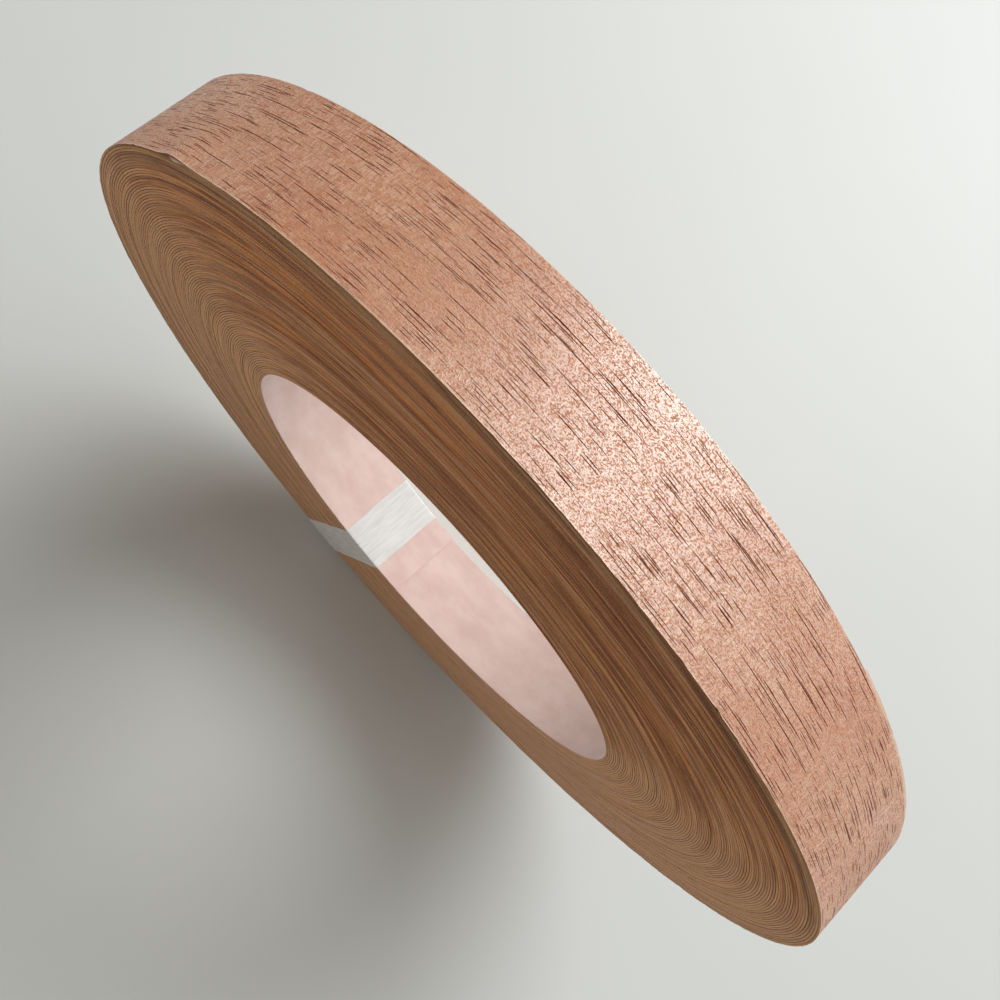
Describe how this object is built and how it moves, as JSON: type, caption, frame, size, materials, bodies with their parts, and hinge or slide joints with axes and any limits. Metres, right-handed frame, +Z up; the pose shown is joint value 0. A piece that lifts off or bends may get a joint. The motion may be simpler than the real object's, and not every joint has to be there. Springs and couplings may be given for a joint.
{
  "type": "veneer edge banding roll",
  "caption": "Coreless roll of fleece-backed wood veneer edge banding, wound as one flat spiral strip and tied by a tape strap round its section, with a loose outer end.",
  "frame": {"origin": "point under the middle of the roll, on the surface that its rim stands on", "axes": "+Y along the roll's axis, away from the front face; +Z up; +X to the right seen from the front"},
  "size_m": [0.2147, 0.0223, 0.215],
  "materials": {
    "veneer": "satin",
    "fleece": "matte",
    "strap": "satin"
  },
  "bodies": {
    "roll": {"veneer_length_01": "veneer", "veneer_length_02": "veneer", "veneer_length_03": "veneer", "veneer_length_04": "veneer", "veneer_length_05": "veneer", "veneer_length_06": "veneer", "veneer_length_07": "veneer", "veneer_length_08": "veneer", "veneer_length_09": "veneer", "veneer_length_10": "veneer", "veneer_length_11": "veneer", "veneer_length_12": "veneer", "veneer_length_13": "veneer", "veneer_length_14": "veneer", "veneer_length_15": "veneer", "veneer_length_16": "veneer", "veneer_length_17": "veneer", "veneer_length_18": "veneer", "veneer_length_19": "veneer", "veneer_length_20": "veneer", "veneer_length_21": "veneer", "veneer_length_22": "veneer", "fleece_backing": "fleece", "strap": "strap"},
    "loose_end": {"loose_end_veneer": "veneer", "loose_end_fleece": "fleece"}
  },
  "joints": [
    {"name": "loose_end_lift", "type": "hinge", "parent": "roll", "child": "loose_end", "pos_m": [-0.03955, 0, 0.00765], "axis": [0, -1, 0], "range_deg": [0, 35], "stiffness_Nm_per_rad": 0.01}
  ]
}
